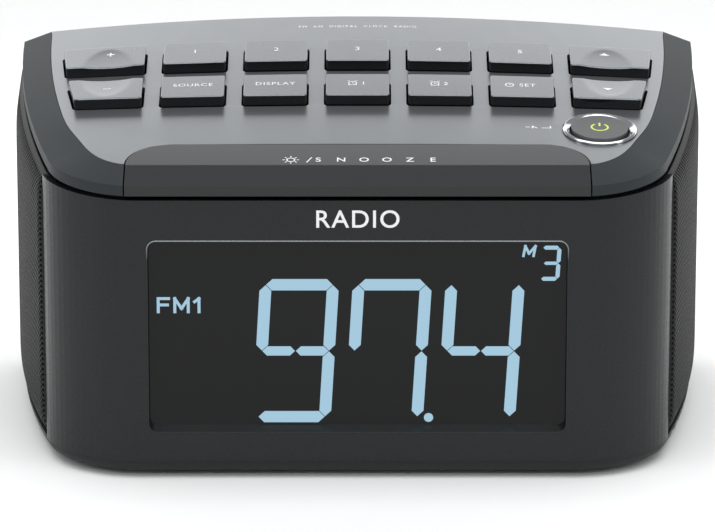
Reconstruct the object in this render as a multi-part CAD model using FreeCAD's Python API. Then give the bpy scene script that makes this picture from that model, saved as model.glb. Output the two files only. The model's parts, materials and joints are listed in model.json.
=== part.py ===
import FreeCAD, Part
import math
import os

# Table-top clock radio. Millimetres. While the parts are drawn, Y is 0 on the
# cabinet's front face and grows to the rear, and Z is 0 on the table. They are
# written out with Y counted from the middle of the radio's depth.

V = FreeCAD.Vector
UP = V(0, 0, 1)

# ---- overall sizes ----
width = 195.6             # over the overhanging lip, at the back
depth = 108.0             # front of the lip to the rear face
height = 105.8            # table to the middle of the top's rear edge
crease_z = 89.0           # where the top panel starts to fall to the front
crown_drop = 5.5          # how far the rear edge falls at half the width

# ---- plan outline ----
corner_radius = 26.0
corner_turn = 75.0        # degrees that each front corner turns
lip_overhang = 1.0        # lip beyond the cabinet

# ---- casing ----
foot_height = 1.6
foot_half = 65.0          # half the length of the front strip
foot_front = 12.0
foot_width = 7.0
rear_pad = 26.0
base_split = 5.3          # parting line between base and cabinet
base_inset = 0.4          # base edge inside the cabinet's face
base_round = 3.2
base_floor = 2.2
wall = 2.5
side_wall = 2.0           # wall behind the grilles
grille_pocket = 2.0       # cabinet face to the wall behind the grille
trim_width = 10.0         # bevelled band along the front
trim_narrowing = 1.8      # how much narrower the band is along the sides
narrowing_lead = 8.0      # how far before the corner's end it starts to narrow
narrowing_run = 30.0
trim_swell = 0.7          # extra width at the middle of the bend
swell_start = 6.0
lip_drop = 3.1            # fall of the bevelled trim to its outer edge
lip_height = 3.0
shadow_gap = 1.5
skirt_reach = 3.0         # trim's skirt below the cabinet's top edge
corner_lap = 1.2          # cabinet face past the corner, up to the grille
trim_ledge = 2.0          # shelf that carries the top panel
grille_bulge = 2.8
grille_skin = 1.4
panel_thickness = 2.0
rear_thickness = 2.5
fit_gap = 0.15            # between fixed pieces that slip together
seat_gap = 0.05           # between faces that rest on each other

# ---- window and display ----
window_width = 117.0
window_low = 13.6
window_high = 69.9
window_radius = 2.6
window_recess = 3.0
window_ledge = 1.6        # how far the lower ledge climbs to the lens
lens_thickness = 2.0
lens_margin = 1.2         # lens past the opening, in its rebate
lcd_margin = 2.5          # display glass inside the window's width
lcd_thickness = 2.8
guide_thickness = 4.0
board_thickness = 1.6
holder_wall = 3.0

# ---- keys ----
column_pitch = 23.4
key_width = 18.0
key_depth = 14.0
front_row = 54.2          # Y of the row centres
rear_row = 77.2
outer_key_start = 61.2    # inner edge of the wide outer keys
outer_key_margin = 3.9    # outer edge inside the trim
key_corner = 1.0
key_gap = 0.55
key_proud = 3.2
key_flange = 0.9          # flange past the hole, under the panel
flange_thickness = 1.2
stem_radius = 1.6
dish_radius = 42.0
dish_depth = 0.8

# ---- power button and snooze bar ----
power_margin = 13.13      # button's centre inside the band's inner edge
power_y = 32.2
ring_radius = 10.5
ring_bore = 8.4
ring_proud = 0.9
ring_seat = 0.3           # depth of the panel's seat for the ring
power_radius = 8.0
bar_half = 64.3
bar_rear = 22.0
bar_corner = 12.5
bar_gap = 0.4
bar_wall = 2.0
bar_well_depth = 5.0      # from under the lip to the well's floor
bar_stem_x = 38.0
bar_stem_y = 14.0

# ---- key board ----
switch_size = 6.2
switch_height = 3.6
key_board_drop = 13.0     # deck surface to the top of the key board
key_board_margin = 6.5    # board past the middle of the outer switches
key_board_front = 42.0
key_board_rear = 87.5

# ---- speakers ----
speaker_y = 62.0
speaker_z = 44.0
speaker_flange = 31.0
speaker_hole = 26.5
speaker_pad = 4.0
cone_radius = 24.5

# ---- inside ----
main_board_z = 25.0
chip_outlines = [(-12, 4, 50, 66), (12, 24, 52, 60), (-34, -24, 40, 48), (28, 34, 66, 78)]
chip_height = 1.6
capacitor_cans = [(-38, 62, 5.0, 14), (-38, 75, 5.0, 14), (-25, 58, 3.2, 8), (40, 48, 4.0, 11)]
shield_outline = (6, 32, 82, 96)
shield_height = 7.0
shield_wall = 0.6
ribbon_thickness = 0.6
ribbon_half = 10.0
key_ribbon_span = (-21.0, -5.0)
jack_depth = 13.0
dc_bore = 3.2
aux_bore = 1.8
cone_seat = 17.5          # depth of the speaker's basket
magnet_radius = 17.0
magnet_length = 11.0
main_half = 50.0
main_front = 24.0
board_setback = 6.5       # main board's rear edge inside the rear cover
cell_radius = 7.1
cell_length = 50.0
cell_pitch = 15.0
cell_y = 62.0
bay_wall = 1.5
bay_gap = 0.4
contact_space = 4.0
door_thickness = 0.95
door_overlap = 3.0
door_tongue = 1.2
door_skin = 0.3           # floor left under the tongues' grooves
screw_radius = 1.4
screw_head = 2.8
screw_head_height = 1.6
pilot_gap = 0.05
socket_z = 33.0
dc_x = -30.0
aux_x = -10.0
gland_x = 32.0
post_x = 75.0             # posts for the rear cover's screws
post_z = 79.0
post_size = 10.0
post_length = 22.0
ferrite_radius = 4.0
ferrite_length = 64.0
ferrite_z = 77.0

y_front = -lip_overhang
y_back = depth - lip_overhang
y_middle = (y_front + y_back) / 2
half_width = width / 2
crease_y = y_front + trim_width
slope = (height - crease_z) / (y_back - crease_y)
tilt = math.degrees(math.atan(slope))
cos_tilt = math.cos(math.radians(tilt))
turn = math.radians(corner_turn)
side_radius = (depth - corner_radius * (1 - math.cos(turn))) / math.cos(turn)
side_centre = half_width - side_radius
straight_half = side_centre + side_radius * math.sin(turn) - corner_radius * math.sin(turn)
rear_face = y_back - rear_thickness
corner_run = corner_radius * turn
side_run = side_radius * (math.pi / 2 - turn)
wall_inset = lip_overhang + wall
seat_inset = lip_overhang + grille_pocket
cabinet_drop = lip_drop + lip_height + shadow_gap
ferrite_y = rear_face - 12.0
main_rear = rear_face - board_setback
power_inset = side_radius - trim_width + trim_narrowing
power_x = side_centre + math.sqrt(power_inset ** 2 - (y_back - power_y) ** 2) - power_margin


# ---- basic shapes ----

def box(x0, x1, y0, y1, z0, z1):
    return Part.makeBox(x1 - x0, y1 - y0, z1 - z0, V(x0, y0, z0))


def rod(radius, length, base, axis=UP):
    return Part.makeCylinder(radius, length, base, axis)


def tube(outer, inner, length, base, axis=UP):
    return rod(outer, length, base, axis).cut(rod(inner, length, base, axis))


def turned(profile):
    """Solid of revolution about Z from a closed list of (radius, height)."""
    points = [V(r, 0, z) for r, z in profile]
    face = Part.Face(Part.makePolygon(points + points[:1]))
    return face.revolve(V(0, 0, 0), UP, 360)


def grown(points, amount):
    """A convex, anticlockwise polygon with every edge moved outwards."""
    edges = []
    for (ax, ay), (bx, by) in zip(points, points[1:] + points[:1]):
        length = math.hypot(bx - ax, by - ay)
        nx, ny = (by - ay) / length, (ax - bx) / length
        edges.append((nx, ny, nx * ax + ny * ay + amount))
    corners = []
    for (a, b, c), (d, e, f) in zip(edges[-1:] + edges[:-1], edges):
        det = a * e - b * d
        corners.append(((c * e - b * f) / det, (a * f - c * d) / det))
    return corners


def rounded(points, radius, z=0.0):
    """Face of a convex polygon with every corner rounded."""
    edges = []
    tangents = []
    for before, here, after in zip(points[-1:] + points[:-1], points, points[1:] + points[:1]):
        p, q, r = V(*before, z), V(*here, z), V(*after, z)
        into, out = (p - q).normalize(), (r - q).normalize()
        half = into.getAngle(out) / 2
        reach = radius / math.tan(half)
        centre = q + (into + out).normalize() * (radius / math.sin(half))
        middle = centre + (q - centre).normalize() * radius
        tangents.append((q + into * reach, middle, q + out * reach))
    for (a, b, c), following in zip(tangents, tangents[1:] + tangents[:1]):
        edges.append(Part.Arc(a, b, c).toShape())
        edges.append(Part.LineSegment(c, following[0]).toShape())
    return Part.Face(Part.Wire(edges))


def rectangle(x0, x1, y0, y1):
    return [(x0, y0), (x1, y0), (x1, y1), (x0, y1)]


def upright(face):
    """A face drawn as X and Z, stood up facing the front."""
    face.rotate(V(0, 0, 0), V(1, 0, 0), 90)
    return face


def plate(face, y0, y1):
    """A face drawn as X and Z, from y0 back to y1."""
    standing = upright(face.copy())
    standing.translate(V(0, y0, 0))
    return standing.extrude(V(0, y1 - y0, 0))


def joined(shapes):
    return shapes[0].multiFuse(shapes[1:]).removeSplitter() if len(shapes) > 1 else shapes[0]


def mirrored(shape):
    return shape.mirror(V(0, 0, 0), V(1, 0, 0))


# ---- the outline in plan, and the sloping, crowned top ----

def deck_z(x, y):
    """Height of the top surface."""
    run = (y - crease_y) / (y_back - crease_y)
    return crease_z + slope * (y - crease_y) - crown_drop * (x / half_width) ** 2 * run


def plan_point(kind, side, t, inset):
    """A point of the outline: kind is front, corner or side, and t runs from 0 to 1 rearwards."""
    if kind == "front":
        return (2 * t - 1) * straight_half, y_front + inset
    if kind == "corner":
        radius = corner_radius - inset
        return (side * (straight_half + radius * math.sin(turn * t)),
                y_front + corner_radius - radius * math.cos(turn * t))
    radius = side_radius - inset
    angle = (math.pi / 2 - turn) * (1 - t)
    return side * (side_centre + radius * math.cos(angle)), y_back - radius * math.sin(angle)


def corner_end():
    """Y where the front corner meets the side."""
    return y_front + corner_radius * (1 - math.cos(turn))


def side_t(y, inset):
    """Where along the side arc a given Y lies."""
    angle = math.asin((y_back - y) / (side_radius - inset))
    return 1 - angle / (math.pi / 2 - turn)


def edge_x(y, inset):
    return plan_point("side", 1, side_t(y, inset), inset)[0]


def above(z):
    """A level section height."""
    return ("flat", z)


def deck(dz):
    """A section height counted from the top surface at the trim's inner edge."""
    return ("deck", dz)


def narrowed(kind, t, inset):
    """Insets past the trim's skirt: the band swells a little at the bends and is slimmer along the sides."""
    if kind == "front" or inset < trim_width - 1:
        return inset
    run = corner_run * t if kind == "corner" else corner_run + side_run * t
    start = corner_run - narrowing_lead
    part = min(1.0, max(0.0, (run - start) / narrowing_run))
    bend = min(1.0, max(0.0, (run - swell_start) / (start + narrowing_run - swell_start)))
    return inset - trim_narrowing * part * part * (3 - 2 * part) + trim_swell * math.sin(math.pi * bend) ** 2


def band_point(kind, side, t):
    """A point of the trim's inner edge."""
    return plan_point(kind, side, t, narrowed(kind, t, trim_width))


def rail_point(span, t, inset, level):
    kind, side = span[:2]
    x, y = plan_point(kind, side, t, narrowed(kind, t, inset))
    if level[0] == "flat":
        return V(x, y, level[1])
    return V(x, y, deck_z(*band_point(kind, side, t)) + level[1])


def rail(span, inset, level):
    kind, side, start, stop = span
    steps = 1 if kind == "front" else 12
    points = [rail_point(span, start + (stop - start) * i / steps, inset, level) for i in range(steps + 1)]
    if steps == 1:
        return Part.LineSegment(*points).toShape()
    curve = Part.BSplineCurve()
    curve.interpolate(points)
    return curve.toShape()


def swept(section, spans):
    """A closed section of (inset, level) carried along spans of the outline."""
    faces = []
    for span in spans:
        rails = [rail(span, inset, level) for inset, level in section]
        for first, second in zip(rails, rails[1:] + rails[:1]):
            faces.append(Part.makeRuledSurface(first, second))
    for span, t in ((spans[0], spans[0][2]), (spans[-1], spans[-1][3])):
        ends = [rail_point(span, t, inset, level) for inset, level in section]
        faces.append(Part.Face(Part.makePolygon(ends + ends[:1])))
    return solid_from(faces)


def solid_from(faces):
    shell = Part.makeShell(faces)
    shell.sewShape()
    solid = Part.makeSolid(shell)
    if solid.Volume < 0:
        solid.reverse()
    return solid


def all_round():
    return [("side", -1, 1, 0), ("corner", -1, 1, 0), ("front", 1, 0, 1),
            ("corner", 1, 0, 1), ("side", 1, 0, 1)]


def plan_face(inset, back, z=0.0):
    """The outline's face, cut off straight at the back."""
    def at(kind, side, t):
        return V(*plan_point(kind, side, t, inset), z)
    stop = side_t(back, inset)
    edges = [Part.LineSegment(at("front", 1, 0), at("front", 1, 1)).toShape()]
    for kind, last in (("corner", 1.0), ("side", stop)):
        edges.append(Part.Arc(at(kind, 1, 0), at(kind, 1, last / 2), at(kind, 1, last)).toShape())
    edges.append(Part.LineSegment(at("side", 1, stop), at("side", -1, stop)).toShape())
    for kind, last in (("side", stop), ("corner", 1.0)):
        edges.append(Part.Arc(at(kind, -1, last), at(kind, -1, last / 2), at(kind, -1, 0)).toShape())
    return Part.Face(Part.Wire(edges))


def deck_section(y, half, low, high):
    """Upright wire under the top surface at one Y. low None stands it on the table."""
    def crown(dz):
        middle, end = deck_z(0, y) + dz, deck_z(half, y) + dz
        curve = Part.BezierCurve()
        curve.setPoles([V(-half, y, end), V(0, y, 2 * middle - end), V(half, y, end)])
        return curve.toShape(), V(-half, y, end), V(half, y, end)
    top, top_left, top_right = crown(high)
    if low is None:
        left, right = V(-half, y, 0), V(half, y, 0)
        bottom = Part.LineSegment(left, right).toShape()
    else:
        bottom, left, right = crown(low)
    return Part.Wire([top, Part.LineSegment(top_right, right).toShape(), bottom,
                      Part.LineSegment(left, top_left).toShape()])


def under_deck(low, high, y0=None, y1=None):
    """Solid between two levels counted from the top surface."""
    start = crease_y if y0 is None else y0
    stop = y_back if y1 is None else y1
    half = half_width + 5
    wires = [deck_section(y, half, low, high) for y in (start, stop)]
    return Part.makeLoft(wires, True, True)


def on_deck(shape):
    """Moves a shape drawn flat (X, up the slope, out of the deck) onto the sloping top."""
    placed = shape.copy()
    slope_frame = FreeCAD.Placement(V(0, crease_y, crease_z), FreeCAD.Rotation(V(1, 0, 0), tilt))
    placed.Placement = slope_frame.multiply(placed.Placement)
    return placed


def slope_run(y):
    """Distance up the slope of a point at Y on the deck."""
    return (y - crease_y) / cos_tilt


# ---- casing ----

def battery_bay():
    """Half sizes in X and Y of the bay, its floor, which is the door's top, and its roof."""
    half_x = cell_length / 2 + contact_space
    half_y = cell_pitch / 2 + cell_radius + bay_gap
    floor = foot_height + seat_gap + door_thickness
    roof = floor + 2 * cell_radius + 2 * bay_gap
    return half_x, half_y, floor, roof


def base_posts():
    """Places of the four posts that carry the main board."""
    return [(sx * (main_half - 5), y) for sx in (-1, 1) for y in (main_front + 5, main_rear - 5)]


def case_screw_places():
    return [(sx * (straight_half + 8), y) for sx in (-1, 1) for y in (y_front + wall_inset + 9, rear_face - 9)]


def base_tray():
    face = plan_face(lip_overhang + base_inset, y_back - base_inset, foot_height)
    body = face.extrude(UP * (base_split - foot_height))
    lower = [e for e in body.Edges if e.BoundBox.ZMax < foot_height + 0.01]
    body = body.makeFillet(base_round, lower)
    hollow = plan_face(lip_overhang + base_inset + wall, rear_face - wall, foot_height + base_floor)
    body = body.cut(hollow.extrude(UP * base_split))
    half_x, half_y, floor, roof = battery_bay()
    pieces = [body, box(-half_x - bay_wall, half_x + bay_wall, cell_y - half_y - bay_wall,
                        cell_y + half_y + bay_wall, foot_height, roof + bay_wall)]
    for x, y in base_posts():
        pieces.append(rod(3.5, main_board_z - foot_height - 0.2, V(x, y, foot_height + 0.2)))
    for x, y in case_screw_places():
        pieces.append(rod(4.5, base_split - foot_height - 0.2, V(x, y, foot_height + 0.2)))
    tray = joined(pieces)
    tray = tray.cut(box(-half_x, half_x, cell_y - half_y, cell_y + half_y, 0, roof))
    tray = tray.cut(door_shape(fit_gap, y_back + 5))
    holes = []
    for x, y in base_posts():
        holes.append(rod(screw_radius + pilot_gap, 9, V(x, y, main_board_z - 9)))
    for x, y in case_screw_places():
        holes.append(rod(screw_radius + 0.2, base_split, V(x, y, 0)))
        holes.append(rod(screw_head + 0.2, screw_head_height + 0.2, V(x, y, foot_height)))
    return tray.cut(Part.makeCompound(holes))


def door_shape(gap, rear):
    """Battery door with its two side tongues; with a gap and a rear end, the channel it slides along."""
    half_x, half_y, floor, roof = battery_bay()
    half = half_x + door_overlap + gap
    front = cell_y - half_y - bay_wall - door_overlap - gap
    low = foot_height + seat_gap - gap
    top = floor + gap / 2
    plate_part = box(-half, half, front, rear, low, top)
    tongues = box(-half - door_tongue, half + door_tongue, front, rear, low + door_skin, top)
    return joined([plate_part, tongues])


def foot_strips():
    """Front strip and two rear pads that the radio stands on."""
    front = rounded(rectangle(-foot_half, foot_half, foot_front, foot_front + foot_width), 3.0)
    front = front.extrude(UP * foot_height)
    back = y_back - foot_front - foot_width
    rear = rounded(rectangle(foot_half - rear_pad, foot_half, back, back + foot_width), 3.0)
    rear = rear.extrude(UP * foot_height)
    return Part.makeCompound([front, rear, mirrored(rear)])


def window_face(grow, ledge=0.0):
    half = window_width / 2 + grow
    return rounded(rectangle(-half, half, window_low - grow + ledge, window_high + grow), window_radius)


def front_shell():
    """Front, rounded corners and the recessed side walls, with the window and the speaker openings."""
    past = side_t(corner_end() + corner_lap, 0.0)
    front = [("side", -1, past, 0), ("corner", -1, 1, 0), ("front", 1, 0, 1), ("corner", 1, 0, 1),
             ("side", 1, 0, past)]
    top = deck(-cabinet_drop)
    side_top = deck(-cabinet_drop - skirt_reach)
    outer = swept([(lip_overhang, top), (lip_overhang, above(base_split)),
                   (wall_inset, above(base_split)), (wall_inset, top)], front)
    pieces = [outer]
    holes = [window_opening()]
    for side in (-1, 1):
        stop = side_t(rear_face - fit_gap, seat_inset)
        spans = [("corner", side, 0.9, 1.0), ("side", side, 0, stop)]
        pieces.append(swept([(seat_inset, side_top), (seat_inset, above(base_split)),
                             (seat_inset + side_wall, above(base_split)),
                             (seat_inset + side_wall, side_top)], spans))
        place = speaker_place(side)
        pad = tube(speaker_flange + 1, speaker_hole, speaker_pad + 0.3, V(0, 0, -speaker_pad))
        opening = rod(speaker_hole, 12, V(0, 0, -6))
        screws = [rod(screw_radius + pilot_gap, 3.8, V(x, y, -speaker_pad)) for x, y in speaker_screw_ring()]
        for shape in [pad, opening] + screws:
            shape.Placement = place
        pieces.append(pad)
        holes += [opening] + screws
        pieces += rear_post(side)
        holes.append(rod(screw_radius + pilot_gap, 12, V(side * post_x, rear_face - 12, post_z), V(0, 1, 0)))
    collar = plate(window_face(lens_margin + 1.4), wall - 0.3, window_recess + lens_thickness)
    pieces.append(collar)
    inside = plan_face(wall_inset - 1.0, y_middle, base_split).extrude(UP * 16)
    for x, y in case_screw_places():
        if y < y_middle:
            pieces.append(box(x - 3.6, x + 3.6, y_front, y, base_split, base_split + 16).common(inside))
            pieces.append(rod(3.6, 16, V(x, y, base_split)))
            holes.append(rod(screw_radius + pilot_gap, 12, V(x, y, base_split)))
    holes.append(plate(window_face(lens_margin + fit_gap), window_recess, window_recess + lens_thickness + 1))
    return joined(pieces).cut(Part.makeCompound(holes))


def rear_post(side):
    """Post for a rear cover screw, and its arm from the side wall."""
    half = post_size / 2
    front = rear_face - post_length
    ends = sorted([side * post_x, side * edge_x(front, seat_inset + side_wall / 2)])
    low, high = post_z - half, post_z + half
    return [box(side * post_x - half, side * post_x + half, front, rear_face - fit_gap, low, high),
            box(ends[0], ends[1], front, front + post_length / 4, low, high)]


def window_opening():
    """Recess down to the lens, with a lower ledge that slopes up to it."""
    outer = upright(window_face(0.0))
    inner = upright(window_face(0.0, window_ledge))
    outer.translate(V(0, -0.01, 0))
    inner.translate(V(0, window_recess + 0.01, 0))
    return Part.makeLoft([outer.OuterWire, inner.OuterWire], True, True)


def trim_section(clear=0.0):
    """Bevelled band, lip, inner skirt and the ledge under the top panel; clear makes the cutter around it."""
    skirt = wall_inset + 0.3
    under = lip_drop + lip_height
    return [(trim_width, deck(clear * 8)), (0.0 - clear * 5, deck(clear * 8 - lip_drop)),
            (0.0 - clear * 5, deck(-under - clear * 2)), (skirt - clear, deck(-under - clear * 2)),
            (skirt - clear, deck(-cabinet_drop - skirt_reach + 0.3 - clear)),
            (skirt + 1.5 + clear, deck(-cabinet_drop - skirt_reach + 0.3 - clear)),
            (skirt + 1.5 + clear, deck(-4.4 - clear)), (trim_width + trim_ledge + clear, deck(-4.0 - clear)),
            (trim_width + trim_ledge + clear, deck(-panel_thickness - seat_gap)),
            (trim_width, deck(-panel_thickness - seat_gap))]


def bar_plan(grow):
    """Snooze bar in plan: square at the lip, rounded at the rear."""
    half, radius = bar_half + grow, bar_corner + grow
    rear = bar_rear + grow
    front = y_front - grow
    a, b = V(half, front, 0), V(half, rear - radius, 0)
    c = V(half - radius, rear, 0)
    diagonal = radius * (1 - math.sqrt(0.5))
    middle = V(half - diagonal, rear - diagonal, 0)
    flip = lambda p: V(-p.x, p.y, p.z)
    edges = [Part.LineSegment(flip(a), a).toShape(), Part.LineSegment(a, b).toShape(),
             Part.Arc(b, middle, c).toShape(), Part.LineSegment(c, flip(c)).toShape(),
             Part.Arc(flip(c), flip(middle), flip(b)).toShape(), Part.LineSegment(flip(b), flip(a)).toShape()]
    return Part.Face(Part.Wire(edges))


def bar_well_floor():
    return crease_z - lip_drop - lip_height - bar_well_depth


def top_trim():
    """The band all round the front and sides, and the well that the snooze bar works in."""
    ring = swept(trim_section(), all_round())
    floor = bar_well_floor()
    pocket = bar_plan(bar_gap).extrude(UP * height)
    outer = bar_plan(bar_gap + bar_wall).extrude(UP * height)
    keep = plan_face(wall_inset + 0.4, bar_rear + 5, floor - bar_wall).extrude(UP * (bar_wall + 8))
    outer = outer.common(keep)
    inner = pocket.copy()
    inner.translate(V(0, 0, floor))
    well = outer.cut(inner)
    ring_cut = pocket.copy()
    ring_cut.translate(V(0, 0, floor))
    return joined([ring.cut(ring_cut), well])


def top_panel():
    """Sloping, crowned metal-look panel with openings for the keys, the power button and the bar."""
    edges = [rail(span, trim_width + fit_gap, above(0)) for span in all_round()]
    ends = [rail_point(("side", side), 1, trim_width + fit_gap, above(0)) for side in (1, -1)]
    face = Part.Face(Part.Wire(edges + [Part.LineSegment(*ends).toShape()]))
    panel = face.extrude(UP * (height + 5)).common(under_deck(-panel_thickness, 0.0))
    cuts = [bar_plan(bar_gap).extrude(UP * (height + 5))]
    for name, points, centre in key_layout():
        hole = rounded(grown(points, key_gap), key_corner + key_gap, -12).extrude(UP * 20)
        cuts.append(on_deck(hole))
    cuts.append(at_power(rod(ring_radius + fit_gap, 10, V(0, 0, -ring_seat))))
    cuts.append(at_power(rod(ring_radius - 1 + fit_gap, 20, V(0, 0, -10))))
    panel = panel.cut(Part.makeCompound(cuts))
    bosses = []
    for x, y in key_board_screws():
        boss = rod(2.6, 8, V(x, slope_run(y), -key_board_drop))
        fill = on_deck(rod(2.6, key_board_drop + 4, V(x, slope_run(y), -key_board_drop)))
        bosses.append(fill.common(under_deck(-key_board_drop - 2, -0.5)))
    panel = joined([panel] + bosses)
    holes = [on_deck(rod(screw_radius + pilot_gap, 7, V(x, slope_run(y), -key_board_drop)))
             for x, y in key_board_screws()]
    return panel.cut(Part.makeCompound(holes))


def rear_cover():
    """Rear wall with the sockets' holes, screw posts and the ferrite rod's cradles."""
    slab = plan_face(lip_overhang, y_back, base_split + 0.1).extrude(UP * height)
    slab = slab.common(box(-width, width, rear_face, y_back, 0, height))
    slab = slab.common(under_deck(None, -panel_thickness - 0.1))
    keep_out = swept(trim_section(0.25), all_round())
    slab = slab.cut(keep_out)
    pieces = [slab]
    holes = [rod(4.9, 8, V(dc_x, rear_face - 3, socket_z), V(0, 1, 0)),
             rod(4.2, 8, V(aux_x, rear_face - 3, socket_z), V(0, 1, 0)),
             rod(3.5, 8, V(gland_x, rear_face - 3, socket_z + 30), V(0, 1, 0))]
    for x, y in case_screw_places():
        if y > y_middle:
            pieces.append(rod(3.6, 16, V(x, y, base_split)))
            pieces.append(box(x - 3.6, x + 3.6, y, rear_face + 1, base_split + 0.1, base_split + 16))
            holes.append(rod(screw_radius + pilot_gap, 12, V(x, y, base_split)))
    for sx in (-1, 1):
        pieces.append(rod_cradle(sx * 25))
        holes.append(rod(screw_radius + 0.2, 8, V(sx * post_x, rear_face - 1, post_z), V(0, 1, 0)))
        holes.append(rod(screw_head + 0.2, 8, V(sx * post_x, y_back - screw_head_height, post_z), V(0, 1, 0)))
    for row in range(5):
        z = 48 + row * 5.0
        slot = rounded(rectangle(-22, 22, z, z + 2), 0.95)
        holes.append(plate(slot, rear_face - 1, y_back + 1))
    return joined(pieces).cut(Part.makeCompound(holes))


def rod_cradle(x):
    """Ear on the rear cover that the ferrite rod is pushed through."""
    ear = box(x - 1.5, x + 1.5, ferrite_y - 7, rear_face + 0.5, ferrite_z - 6, ferrite_z + 6)
    return ear.cut(rod(ferrite_radius + 0.1, 6, V(x - 3, ferrite_y, ferrite_z), V(1, 0, 0)))


def grille(side):
    """Bulging side grille, a closed skin between the lip, the corner and the base."""
    rim_inset = seat_inset - grille_skin - 0.1
    start = side_t(corner_end() + corner_lap + 0.3, 0.0)
    stop = side_t(rear_face - 0.4, 0.0)
    low = base_split + 0.6

    def surface(depth_in):
        rows = []
        for i in range(9):
            t = start + (stop - start) * i / 8
            row = []
            for j in range(9):
                v = j / 8
                inset = rim_inset - grille_bulge * (1 - (2 * v - 1) ** 4) + depth_in
                top = deck_z(*band_point("side", side, t)) - cabinet_drop + 0.4
                x, y = plan_point("side", side, t, inset)
                row.append(V(x, y, low + v * (top - low)))
            rows.append(row)
        sheet = Part.BSplineSurface()
        sheet.interpolate(rows)
        return sheet.toShape()

    outer, inner = surface(0.0), surface(grille_skin)
    rims = [Part.makeRuledSurface(a, b) for a, b in zip(outer.Edges, inner.Edges)]
    return solid_from([outer, inner] + rims)


# ---- display ----

def display_lens():
    return plate(window_face(lens_margin), window_recess, window_recess + lens_thickness)


def lcd_face(grow):
    """Outline of the display glass and of what is behind and around it."""
    half = window_width / 2 - lcd_margin + grow
    return rounded(rectangle(-half, half, window_low + 2 - grow, window_high - 1 + grow), 0.5)


def display_stack():
    """Y of the LCD's front and back, the light guide's back and the board's back."""
    lcd_front = window_recess + lens_thickness + seat_gap
    lcd_back = lcd_front + lcd_thickness
    guide_back = lcd_back + guide_thickness
    return lcd_front, lcd_back, guide_back, guide_back + board_thickness + seat_gap


def lcd_glass():
    lcd_front, lcd_back, guide_back, board_back = display_stack()
    return plate(lcd_face(0), lcd_front, lcd_back)


def light_guide():
    lcd_front, lcd_back, guide_back, board_back = display_stack()
    return plate(lcd_face(0), lcd_back + seat_gap, guide_back)


def lcd_holder():
    """Frame round the LCD and its light guide, against the back of the window's collar."""
    lcd_front, lcd_back, guide_back, board_back = display_stack()
    outer = plate(lcd_face(holder_wall), lcd_front, guide_back)
    return outer.cut(plate(lcd_face(fit_gap), lcd_front - 1, guide_back + 1))


def display_board():
    lcd_front, lcd_back, guide_back, board_back = display_stack()
    return plate(lcd_face(holder_wall), guide_back + seat_gap, board_back)


def display_ribbon():
    """Flat cable from the display board down to the main board."""
    board_back = display_stack()[3]
    low = main_board_z + board_thickness + 0.1
    near = board_back + 0.1
    down = box(-ribbon_half, ribbon_half, near, near + ribbon_thickness, low, low + 13.3)
    along = box(-ribbon_half, ribbon_half, near, main_front + 6, low, low + ribbon_thickness)
    return joined([down, along])


# ---- keys ----

def key_points(column, y):
    """Cap outline on the deck, anticlockwise, as (x, distance up the slope)."""
    low, high = slope_run(y - key_depth / 2), slope_run(y + key_depth / 2)
    if abs(column) < 3:
        x = column * column_pitch
        return rectangle(x - key_width / 2, x + key_width / 2, low, high)
    inset = trim_width - trim_narrowing + outer_key_margin
    near, far = edge_x(y - key_depth / 2, inset), edge_x(y + key_depth / 2, inset)
    points = [(outer_key_start, low), (near, low), (far, high), (outer_key_start, high)]
    if column < 0:
        points = [(-x, u) for x, u in reversed(points)]
    return points


def key_layout():
    names = {rear_row: ["key_plus", "key_1", "key_2", "key_3", "key_4", "key_5", "key_up"],
             front_row: ["key_minus", "key_source", "key_display", "key_alarm_1", "key_alarm_2",
                         "key_set", "key_down"]}
    layout = []
    for y, row in names.items():
        for column, name in zip(range(-3, 4), row):
            points = key_points(column, y)
            x = sum(p[0] for p in points) / 4
            layout.append((name, points, (x, y)))
    return layout


def stem(x, y, top_z):
    """Stem from under a cap to the well of its switch."""
    start = -key_board_drop + switch_height - 1.4
    whole = on_deck(rod(stem_radius, key_board_drop, V(x, slope_run(y), start)))
    return whole.common(under_deck(-key_board_drop - 5, top_z))


def key_cap(points, centre):
    cap = on_deck(rounded(points, key_corner, -14).extrude(UP * 28))
    cap = cap.common(under_deck(-panel_thickness - 0.3 - flange_thickness, key_proud))
    flange = on_deck(rounded(grown(points, key_gap + key_flange), key_corner + 1, -14).extrude(UP * 28))
    flange = flange.common(under_deck(-panel_thickness - 0.3 - flange_thickness, -panel_thickness - 0.3))
    key = joined([cap, flange, stem(centre[0], centre[1], -panel_thickness)])
    if abs(centre[0]) > outer_key_start:
        middle = slope_run((front_row + rear_row) / 2)
        drop = deck_z(0, (front_row + rear_row) / 2) - deck_z(centre[0], (front_row + rear_row) / 2)
        level = key_proud - drop + dish_radius - dish_depth - 1.2
        dish = Part.makeSphere(dish_radius, V(centre[0], middle, level))
        key = key.cut(on_deck(dish))
    return key


def key_board_half():
    return max(centre[0] for name, points, centre in key_layout()) + key_board_margin


def key_board():
    """Board under the top panel, parallel to the slope, with a tab forward for the power switch."""
    low, high = slope_run(key_board_front), slope_run(key_board_rear)
    tab = slope_run(power_y - 7)
    top = -key_board_drop
    half = key_board_half()
    board = box(-half, half, low, high, top - board_thickness, top)
    board = joined([board, box(power_x - 11, power_x + 10, tab, low + 1, top - board_thickness, top)])
    holes = [rod(screw_radius + 0.2, 10, V(x, slope_run(y), top - 5)) for x, y in key_board_screws()]
    return on_deck(board.cut(Part.makeCompound(holes)))


def key_board_screws():
    between = (front_row + rear_row) / 2
    return [(sx * x, between) for sx in (-1, 1) for x in (column_pitch / 2, column_pitch * 2.5 - 3)]


def tact_switch(x, u):
    top = -key_board_drop
    half = switch_size / 2
    body = box(x - half, x + half, u - half, u + half, top + seat_gap, top + switch_height)
    well = rod(stem_radius + 0.1, switch_height, V(x, u, top + 1.0))
    return on_deck(body.cut(well))


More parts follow.
